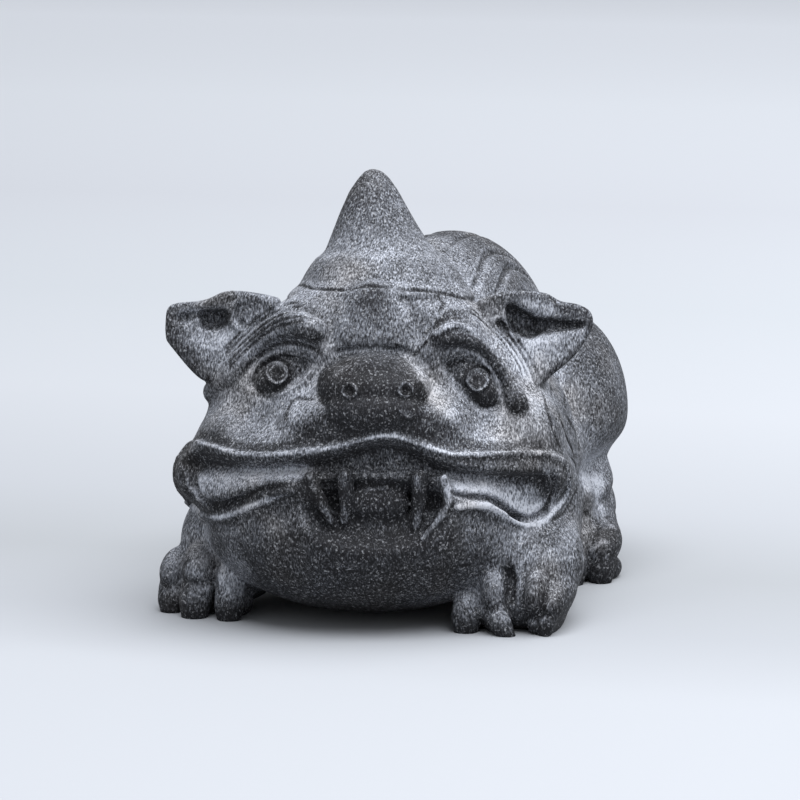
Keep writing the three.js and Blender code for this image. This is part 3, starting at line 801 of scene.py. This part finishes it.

# Where the hand rubs dark, where dust lies thick, and where shade is painted into the mouth, the ears'
# hollows and a groove between two toes: an outline seen from in front, an amount, and how far in it fades.
TINTS_AND_PAINTED_SHADE = [
    # mouth, and the pocket round the teeth: both painted darker, as shade in the hollows
    (MOUTH, -0.36, 0.6),
    ([(-8.08, -10.08), (-4.93, -8.82), (5.56, -9.03), (7.88, -10.5), (7.67, -13.02), (5.56, -15.64),
      (0.84, -16.8), (-4.93, -15.96), (-7.67, -13.65)], -0.5, 1.3),
    # nose
    ([(-5.56, 0.84), (-4.93, 2.21), (-2.83, 3.36), (0.84, 3.57), (2.83, 2.73), (3.88, 1.47), (5.25, 0.21),
      (4.51, -0.84), (1.89, -1.26), (-4.93, -1.05)], -0.42, 0.5),
    ([(-6.51, 0.84), (-6.3, 2.52), (-5.25, 4.09), (-3.57, 4.93), (-1.57, 5.25), (1.16, 5.25),
      (2.73, 4.72), (3.78, 3.57), (5.04, 1.68), (5.46, 0), (4.51, -0.84), (-4.93, -1.05)], -0.42, 0.35),
    # nostrils
    ([(-5.67, 2.21), (-4.51, 3.57), (-2.83, 3.99), (-1.89, 3.57), (-2.62, 2.1), (-4.09, 0.94),
      (-5.35, 0.84)], 0.13, 0.6),
    ([(3.25, 1.68), (4.3, 1.26), (5.35, 0.21), (4.72, -0.63), (3.67, -0.32), (3.15, 0.63)], -0.15, 0.3),
    ([(1.78, 0.73), (2.73, 0.21), (3.25, -0.42), (3.99, -1.68), (3.36, -2.21), (2.42, -1.36),
      (1.89, -0.42)], 0.34, 0.35),
    # muzzle
    ([(-9.76, -0.84), (-8.29, -0.42), (-6.83, -1.26), (-7.46, -2.73), (-9.13, -2.73)], 0.2, 1.0),
    ([(5.98, -0.63), (7.46, -0.21), (8.92, -1.26), (8.5, -2.73), (6.61, -2.52)], 0.2, 1.0),
    ([(3.15, 3.46), (4.51, 3.36), (6.19, 2.1), (6.61, 0.42), (5.56, 0.21), (3.99, 1.68)], 0.2, 0.5),
    ([(-5.77, 0.42), (-2.83, 0.84), (2.42, 0.84), (5.14, 0.42), (8.71, -2.1), (11.23, -4.83),
      (5.56, -4.93), (1.05, -3.67), (-4.93, -4.93), (-12.49, -5.67), (-9.13, -2.52)], -0.3, 1.8),
    # right brow
    ([(-17.95, 1.47), (-14.38, 5.67), (-10.61, 8.61), (-7.67, 9.34), (-5.14, 7.35), (-5.35, 5.88),
      (-9.76, 6.51), (-13.75, 3.15), (-16.27, 0)], 0.16, 0.7),
    ([(-9.13, 7.56), (-7.04, 7.77), (-5.14, 7.14), (-5.14, 5.98), (-7.25, 5.98), (-9.13, 6.51)], -0.14, 0.5),
    ([(-17.75, 1.68), (-16.27, 2.52), (-14.8, 1.68), (-15.22, 0.21), (-16.91, -0.42)], -0.2, 0.7),
    # left brow
    ([(6.19, 6.61), (7.25, 7.14), (8.5, 7.25), (9.55, 7.04), (10.81, 6.4), (11.87, 5.56), (12.91, 4.2),
      (13.75, 2.94), (14.59, 1.47), (15.85, 0.42), (16.06, -0.84), (15.22, -1.89), (14.07, -1.57),
      (13.44, 0), (12.91, 1.89), (11.87, 3.57), (10.61, 4.83), (9.13, 5.56), (7.67, 5.56),
      (6.61, 5.77)], -0.22, 0.3),
    # the boss over the nose
    ([(-3.88, 10.92), (3.67, 10.92), (3.88, 8.19), (1.99, 5.67), (-2.21, 5.67), (-4.09, 8.19)], 0.16, 2.4),
    # eyes
    ([(-13.44, 1.47), (-12.71, 3.78), (-11.45, 4.83), (-9.97, 5.14), (-8.29, 4.62), (-6.93, 3.57),
      (-8.71, 1.89), (-10.19, 0.42), (-12.07, 0.1)], -0.34, 0.4),
    ([(6.93, 3.78), (7.88, 4.3), (9.55, 4.41), (11.13, 3.67), (12.29, 2.52), (12.71, 0.63),
      (12.49, -0.84), (11.03, -0.94), (9.76, 0.1), (8.71, 1.36), (7.25, 2.73)], -0.36, 0.4),
    # cheeks
    ([(-20.27, 0), (-15.43, 0.42), (-9.13, -1.05), (-10.19, -4.83), (-15.43, -5.46),
      (-20.68, -4.2)], -0.06, 2.0),
    ([(15.43, 0.21), (18.16, 1.47), (21.11, -2.94), (20.68, -4.83), (17.64, -4.3),
      (15.43, -2.1)], 0.12, 1.6),
    ([(13.75, -1.47), (17.64, -1.89), (18.48, -5.04), (14.17, -5.25)], 0.16, 1.2),
    # right ear, its hollow painted darker as shade
    ([(-19.21, 7.98), (-18.79, 9.66), (-17.11, 10.08), (-15.22, 9.66), (-14.8, 8.19), (-16.27, 6.93),
      (-18.16, 6.93)], -0.35, 0.8),
    # left ear: its hollow painted darker as shade, its upper flap paler, then its fold and lower hollow
    # painted darker as shade
    ([(13.33, 8.4), (13.33, 10.08), (14.07, 10.5), (15.43, 9.76), (16.91, 8.82), (17.54, 7.56),
      (17.11, 6.51), (15.85, 6.19), (14.17, 6.83)], -0.4, 0.5),
    ([(13.96, 10.71), (16.48, 11.03), (18.59, 10.29), (19.21, 9.03), (18.06, 8.61), (16.27, 9.24),
      (14.8, 9.97)], 0.42, 0.6),
    (EAR_FOLD, -0.3, 0.4),
    ([(15.85, 9.03), (18.16, 8.92), (20.47, 8.71), (22.15, 8.4), (21.95, 7.14), (19.21, 6.83),
      (16.48, 6.72)], -0.25, 0.6),
    # the ears' lower halves
    ([(-21.73, 8.19), (-17.54, 6.93), (-14.8, 7.14), (-15.22, 4.62), (-17.95, 2.73),
      (-21.11, 5.88)], 0.12, 1.0),
    ([(12.91, 6.3), (15.01, 6.93), (18.79, 7.25), (22.79, 7.56), (21.73, 5.04), (19, 2.94), (16.48, 1.05),
      (13.96, 2.94)], 0.38, 1.5),
    # left forearm and paw; the last is painted shade in the groove between two toes
    ([(13.44, -12.07), (22.36, -10.5), (23.41, -18.38), (19.21, -21), (10.81, -19.95)], 0.02, 2.5),
    ([(15.01, -15.12), (17.95, -12.6), (19.84, -10.92), (21, -10.29), (21.11, -11.97), (19.21, -14.07),
      (16.7, -15.64), (14.59, -16.38)], -0.2, 0.7),
    ([(21.11, -12.39), (21.21, -16.8), (17.54, -17.43), (15.64, -16.8), (18.79, -14.7)], 0.16, 0.8),
    ([(12.91, -17.11), (14.7, -17.43), (14.91, -21.63), (13.12, -21.63)], -0.26, 0.8),
    # right forepaw
    ([(-23.1, -16.38), (-13.86, -15.75), (-13.33, -21), (-23.1, -21)], 0.3, 1.5),
    # chin
    ([(-9.13, -12.07), (-2.83, -12.81), (2.42, -12.81), (8.19, -12.07), (9.76, -14.7), (4.51, -17.32),
      (-3.88, -17.32), (-9.66, -14.7)], -0.2, 1.6),
    # horn
    ([(-3.36, 24.15), (2.94, 24.15), (5.04, 15.75), (-5.46, 15.75)], 0.08, 3.0),
]
TINT_DEPTH = 9.5  # tints fade out this far back from the sheet, so that they don't reach the neck
tint_and_painted_light = np.zeros(len(figure.data.vertices))
for outline, amount, slope in TINTS_AND_PAINTED_SHADE:
    near, share = inside_outline(figure, outline, slope)
    tint_and_painted_light[near] += amount * share * np.clip((TINT_DEPTH - behind_face(places(figure)[near])) / 2, 0, 1)

# What is brushed on along a line: its marks, how far it reaches, and its amount.
LIP = [(-20.79, -5.04), (-18.06, -4.62), (-14.8, -5.67), (-10.29, -5.77), (-4.62, -5.04), (1.05, -3.78),
       (5.56, -5.04), (10.29, -5.77), (17.22, -5.67)]
BEADS = [
    # upper lip, painted paler, with a darker band over it
    (LIP, 0.26, 0.45),
    ([(x, z + 0.9) for x, z in LIP], 0.8, -0.25),
    # lower lip
    ([(-19.32, -11.34), (-16.38, -12.29), (-13.12, -11.13), (-9.03, -9.66)], 0.55, 0.45),
    ([(16.91, -12.91), (14.17, -12.49), (11.76, -11.23), (8.5, -11.23)], 0.55, 0.45),
    ([(18.48, -5.88), (19.84, -6.72), (20.16, -8.4), (19.74, -10.19), (18.06, -12.18)], 0.45, 0.3),
    # gums, painted lighter along their tops as painted light
    ([(-18.59, -9.03), (-16.27, -8.71), (-13.54, -7.98), (-11.23, -7.46), (-8.08, -7.56)], 2.2, 0.65),
    ([(8.29, -9.03), (10.81, -9.34), (13.44, -10.19), (16.27, -11.23)], 2.4, 0.65),
    # fangs and teeth
    ([(-7.04, -8.08), (-6.19, -10.29), (-4.83, -12.81)], 0.5, 0.5),
    ([(-3.57, -7.98), (-3.36, -10.29), (-3.67, -12.71)], 0.6, 0.55),
    ([(4.2, -8.4), (4.62, -10.71), (4.2, -13.33)], 0.6, 0.55),
    ([(6.93, -8.08), (7.46, -10.08), (6.93, -11.97), (4.83, -14.59)], 0.5, 0.6),
    ([(-2.62, -9.55), (0.32, -9.34), (3.04, -9.76)], 0.4, 0.5),
    # nostrils
    ([(-3.62, 0.94), (-2.87, 1.68), (-2.1, 0.92), (-2.87, 0.16), (-3.62, 0.89)], 0.32, 0.9),
    ([(2.23, 1.05), (2.96, 1.74), (3.7, 1.01), (2.96, 0.27), (2.23, 0.97)], 0.32, 0.9),
    ([(-2.97, 0.92), (-2.76, 0.92)], 0.4, 0.25),
    ([(2.86, 1.01), (3.07, 1.01)], 0.4, 0.35),
    # pupils and irises
    ([(-10.61, 2.83), (-10.39, 2.83)], 0.75, -0.2),
    ([(10.45, 2.05), (10.66, 2.05)], 0.75, -0.25),
    ([(-11.55, 2.83), (-10.5, 3.88), (-9.45, 2.83), (-10.5, 1.78), (-11.55, 2.78)], 0.26, 0.4),
    ([(9.5, 2.05), (10.55, 3.1), (11.6, 2.05), (10.55, 1), (9.5, 1.99)], 0.26, 0.4),
    # the bead over the left brow, and eyelids
    ([(6.19, 6.93), (7.25, 7.56), (8.19, 7.77), (9.45, 7.56), (10.71, 6.83)], 0.26, 0.45),
    ([(8.5, 5.25), (10.29, 4.72), (11.65, 3.46), (12.71, 1.78), (13.12, 0), (13.23, -1.36)], 0.3, 0.16),
    ([(-13.65, 2.31), (-12.81, 4.09), (-11.55, 5.25), (-10.19, 5.67), (-8.5, 5.25)], 0.3, 0.15),
    # left hind foot and ankle
    ([(21.63, -16.7), (22.79, -16.38), (24.15, -16.59), (25.52, -16.7)], 0.4, 0.5),
    ([(22.57, -15.85), (23.84, -14.91), (25.3, -16.06)], 0.35, 0.45),
    ([(21.84, -11.76), (22.99, -12.71), (23.31, -14.17)], 0.35, -0.3),
    ([(23.1, -9.97), (23.73, -11.76), (24.78, -13.33)], 0.8, 0.3),
    ([(21.84, -8.61), (23.2, -8.4)], 1.6, 0.35),
    ([(22.36, -17.43), (24.04, -17.32), (25.09, -17.11)], 0.9, -0.25),
    # left haunch
    ([(23.41, 0), (24.68, -4.2)], 9.0, 0.1),
    # painted shade between the left forepaw's toes
    ([(13.86, -17.43), (13.96, -19.43), (14.07, -21.42)], 1.1, -0.25),
    ([(17.54, -20.16), (17.32, -21.21), (17.64, -22.15)], 0.4, -0.3),
    # right forepaw: two paler lines, then painted shade in the grooves between its toes
    ([(-22.79, -19.53), (-20.68, -19.11), (-18.59, -19.32)], 0.3, 0.3),
    ([(-17.95, -19.95), (-16.91, -19.53), (-15.64, -19.95)], 0.3, 0.3),
    ([(-19.84, -16.8), (-20.37, -18.38), (-20.05, -20.16)], 0.5, -0.25),
    ([(-17.11, -17.01), (-16.8, -18.9), (-16.59, -21)], 0.5, -0.25),
]
skin = skin_of(figure)
spots, up = places(figure), facings(figure)[:, 2]


def brush(path, reach, amount):
    path = np.array([tuple(p) for p in smooth_path(path, 0.2)])
    near = np.where(((spots > path.min(0) - reach) & (spots < path.max(0) + reach)).all(1))[0]
    gap = np.min(np.linalg.norm(spots[near][:, None] - path[None], axis=2), axis=1) / reach
    tint_and_painted_light[near] += amount * np.clip(1 - gap**2, 0, 1)


for marks, reach, amount in BEADS:
    brush([on_face(*mark) for mark in marks], reach, amount)
# The finest cuts are painted darker: painted shade in them.
for path, width, height, _ in lines:
    if height < 0 and width < 0.4:
        brush(path, width, -0.4)

EVEN_DUST = 0.45
# Fine creases are painted darker as shade, and fine ridges lighter as painted highlight, by this share.
CREASE_SHADE_RIDGE_LIGHT = 1.5
OFF_BOSSES = 0.34
# Up-facing stone holds more dust and is painted lighter as lit; down-facing stone is painted darker as shade.
TOP_DUST_AND_LIGHT = 0.26
STROKED = 0.3  # the back is stroked, so that less dust lies on it
MOST_DUST = 0.66
# Stone near the floor is painted darker, as painted shade where it meets the floor.
FLOOR_SHADE = 0.25
back, height = spots[:, 1], spots[:, 2]
settled_dust_and_light = TOP_DUST_AND_LIGHT - STROKED * np.clip((back + 4) / 8, 0, 1)
dust_and_shade = EVEN_DUST + CREASE_SHADE_RIDGE_LIGHT * edge - OFF_BOSSES * proudness + settled_dust_and_light * np.maximum(up, -0.8)
dust_and_shade = np.minimum(dust_and_shade, MOST_DUST) + tint_and_painted_light
dust_and_shade -= FLOOR_SHADE * np.clip(1 - height / 3, 0, 1)
# The stored value holds dust together with the painted shade and painted light.
figure.data.attributes.new("dust_and_shade", "FLOAT", "POINT").data.foreach_set("value", dust_and_shade)
pick(figure)
figure.name = "pixiu"
TO_MIDDLE = Vector((1.179, 0.446, 0))  # from the figure as drawn to the middle of its bounding box
figure.data.transform(Matrix.Translation(TO_MIDDLE))
figure.data.transform(Matrix.Scale(0.001, 4))
bpy.ops.object.shade_smooth()


def tone(text):
    parts = [int(text[k : k + 2], 16) / 255 for k in (1, 3, 5)]
    return [c / 12.92 if c <= 0.04045 else ((c + 0.055) / 1.055) ** 2.4 for c in parts] + [1]


# Adds a node with its settings and a ramp's stops. An input, by name or number, takes a value, a socket or a
# node. Inputs 0, 2 and 3 of a Mix are its share and two numbers, and 6 and 7 are two colours.
def add(tree, kind, settings=None, stops=(), **inputs):
    made = tree.nodes.new("ShaderNode" + kind)
    for key, value in (settings or {}).items():
        setattr(made, key, value)
    for _ in stops[2:]:
        made.color_ramp.elements.new(0.5)
    if stops:
        for stop, (at, colour) in zip(made.color_ramp.elements, stops):
            stop.position = at
            stop.color = tone(colour)
    for key, value in inputs.items():
        socket = made.inputs[int(key[1:]) if key[0] == "_" else key.replace("_", " ")]
        if hasattr(value, "outputs"):
            value = value.outputs[0]
        if hasattr(value, "is_output"):
            tree.links.new(value, socket)
        else:
            socket.default_value = value
    return made


basalt = bpy.data.materials.new("rubbed_basalt")
basalt.use_nodes = True
tree = basalt.node_tree
shader = tree.nodes["Principled BSDF"]
here = add(tree, "TexCoord").outputs["Object"]
dust_and_shade = add(tree, "Attribute", {"attribute_name": "dust_and_shade"}).outputs["Fac"]
PER_MM = 1000  # the finished figure is in metres
STROKE = (0.14, 0.24, 0.42)  # mm; real ones are about 0.05, too fine to show, so they are drawn coarser
PATCH = 5  # mm across, each with its own strokes
GRAIN = 0.5
DRIFT = 4.5
FLECK = 0.3
WEAR = 8
TIMES = {"operation": "MULTIPLY"}
LESS = {"operation": "SUBTRACT"}
TIMES_PLUS = {"operation": "MULTIPLY_ADD"}
TIMES_PLUS_CLAMPED = {"operation": "MULTIPLY_ADD", "use_clamp": True}

# Rubbing with grit leaves short strokes that cross each other in patches.
strokes = []
for lean in (0.7, -0.75):
    sizes = [PER_MM / size for size in STROKE]
    along = add(tree, "Mapping", Vector=here, Rotation=(0.3 * lean, lean, 0), Scale=sizes)
    strokes.append(add(tree, "TexNoise", Vector=along, Scale=1, Detail=1.0, Roughness=0.6))
patch = add(tree, "TexNoise", Vector=here, Scale=PER_MM / PATCH, Detail=1.0)
patch = add(tree, "ValToRGB", stops=[(0.44, "#000000"), (0.56, "#ffffff")], _0=patch)
grit = add(tree, "Mix", {"data_type": "FLOAT"}, _0=patch, _2=strokes[0], _3=strokes[1])
grain = add(tree, "TexNoise", Vector=here, Scale=PER_MM / GRAIN, Detail=3.0, Roughness=0.75)

# The dust, with the shade and light painted into it, drifts a little. With the grain and the strokes
# it makes the stone's tone, almost black to pale.
drift = add(tree, "TexNoise", Vector=here, Scale=PER_MM / DRIFT, Detail=3.0, Roughness=0.6)
dust_and_shade_level = add(tree, "Math", LESS, _0=dust_and_shade, _1=0.275)
dust_and_shade_level = add(tree, "Math", TIMES_PLUS_CLAMPED, _0=drift, _1=0.55, _2=dust_and_shade_level)
mixed = add(tree, "Math", LESS, _0=dust_and_shade_level, _1=0.4)
mixed = add(tree, "Math", TIMES_PLUS, _0=grain, _1=0.8, _2=mixed)
mixed = add(tree, "Math", LESS, _0=mixed, _1=0.8)
mixed = add(tree, "Math", TIMES_PLUS_CLAMPED, _0=grit, _1=1.6, _2=mixed)
STONE_TONES = [(0, "#1b1b1d"), (0.28, "#3a3b3e"), (0.55, "#66686d"), (0.78, "#90939a"), (1, "#bcbfc6")]
base = add(tree, "ValToRGB", stops=STONE_TONES, _0=mixed)

# Handling has left it warmer in places, and its white grains show best where dust lies round them, least in
# painted shade.
worn = add(tree, "TexNoise", Vector=here, Scale=PER_MM / WEAR, Detail=2.0)
worn = add(tree, "ValToRGB", stops=[(0.5, "#000000"), (0.68, "#ffffff")], _0=worn)
warm = {"data_type": "RGBA", "blend_type": "MULTIPLY"}
base = add(tree, "Mix", warm, _0=worn, _6=base, _7=tone("#fff9f1")).outputs[2]
flecks = add(tree, "TexNoise", Vector=here, Scale=PER_MM / FLECK, Detail=2.0, Roughness=0.6)
flecks = add(tree, "ValToRGB", stops=[(0.58, "#000000"), (0.74, "#ffffff")], _0=flecks)
bright = add(tree, "Math", TIMES_PLUS, _0=dust_and_shade_level, _1=0.45, _2=0.45)
bright = add(tree, "Math", TIMES, _0=flecks, _1=bright)
colour = add(tree, "Mix", {"data_type": "RGBA"}, _0=bright, _6=base, _7=tone("#c2c3c6")).outputs[2]
tree.links.new(colour, shader.inputs["Base Color"])

# Rubbed stone has a faint sheen and dust has none. Strokes and grains are cut 0.14 mm deep.
rough = add(tree, "Math", TIMES_PLUS, _0=dust_and_shade_level, _1=0.2, _2=0.68)
tree.links.new(rough.outputs[0], shader.inputs["Roughness"])
shader.inputs["Specular IOR Level"].default_value = 0.16
relief = add(tree, "Math", TIMES_PLUS, _0=grit, _1=0.8, _2=grain)
bump = add(tree, "Bump", Height=relief, Strength=0.6, Distance=0.14 / PER_MM)
tree.links.new(bump.outputs["Normal"], shader.inputs["Normal"])
figure.data.materials.clear()
figure.data.materials.append(basalt)
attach(figure, "root")
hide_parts("pixiu_figure")

# The figure stands on a sheet of matt paper, without any shine, under a broad soft box and an even room.
# The sheet carries painted shadow round the figure, and painted light makes it lighter to the back and to the
# figure's left.
bpy.ops.object.select_all(action="DESELECT")
bpy.ops.mesh.primitive_plane_add(size=8)
sweep = bpy.context.object
sweep.name = "sweep"
paper = bpy.data.materials.new("matt_paper")
paper.use_nodes = True
tree = paper.node_tree
shader = tree.nodes["Principled BSDF"]
place = add(tree, "SeparateXYZ", Vector=add(tree, "TexCoord").outputs["Object"])
far = add(tree, "MapRange", Value=place.outputs["Y"], From_Min=-0.1, From_Max=1.0)
# Painted shadow: the sheet is painted darkest round the figure and lighter towards the back, as painted
# light.
SHEET_PAINTED_SHADOW = [
    (0.017, "#a4a6a9"), (0.045, "#a4a6a9"), (0.07, "#9a9c9f"), (0.099, "#949698"), (0.132, "#9ea0a3"),
    (0.202, "#abadb0"), (0.297, "#afb2b5"), (0.437, "#bcbec2"), (0.66, "#dcdfe3"), (0.966, "#f7faff"),
]
painted_shadow_and_light = add(tree, "ValToRGB", stops=SHEET_PAINTED_SHADOW, _0=far)
# Painted light: the sheet is painted lighter towards the figure's left.
sideways = place.outputs["X"]
across = add(tree, "MapRange", Value=sideways, From_Min=-0.05, From_Max=0.05, To_Min=0.985, To_Max=1.035)
shaded = {"data_type": "RGBA", "blend_type": "MULTIPLY"}
painted_shadow_and_light = add(tree, "Mix", shaded, _0=1.0, _6=painted_shadow_and_light, _7=across).outputs[2]
tree.links.new(painted_shadow_and_light, shader.inputs["Base Color"])
shader.inputs["Roughness"].default_value = 0.9
sweep.data.materials.append(paper)

bpy.ops.object.light_add(type="AREA", location=(0.16, -0.06, 0.62))
box = bpy.context.object
box.data.shape = "RECTANGLE"
box.data.size = 0.8
box.data.size_y = 0.7
box.data.energy = 10.2
box.data.color = tone("#f5f8fe")[:3]
box.rotation_euler = (-box.location).to_track_quat("-Z", "Y").to_euler()
world = bpy.data.worlds.new("room")
bpy.context.scene.world = world
world.use_nodes = True
world.node_tree.nodes["Background"].inputs["Color"].default_value = tone("#f0f3f8")
world.node_tree.nodes["Background"].inputs["Strength"].default_value = 0.62
bpy.context.scene.view_settings.view_transform = "Standard"

# The camera looks square on at the face from 420 mm, through a long lens.
bpy.ops.object.camera_add(location=(HEAD @ SEEN_FROM + TO_MIDDLE) * 0.001)
camera = bpy.context.object
camera.rotation_euler = (HEAD.to_3x3() @ Matrix.Rotation(math.radians(90), 3, "X")).to_euler()
camera.data.lens = 180  # mm, over a sensor 36 mm wide
camera.data.sensor_width = 36
camera.data.clip_start = 0.01
bpy.context.scene.camera = camera
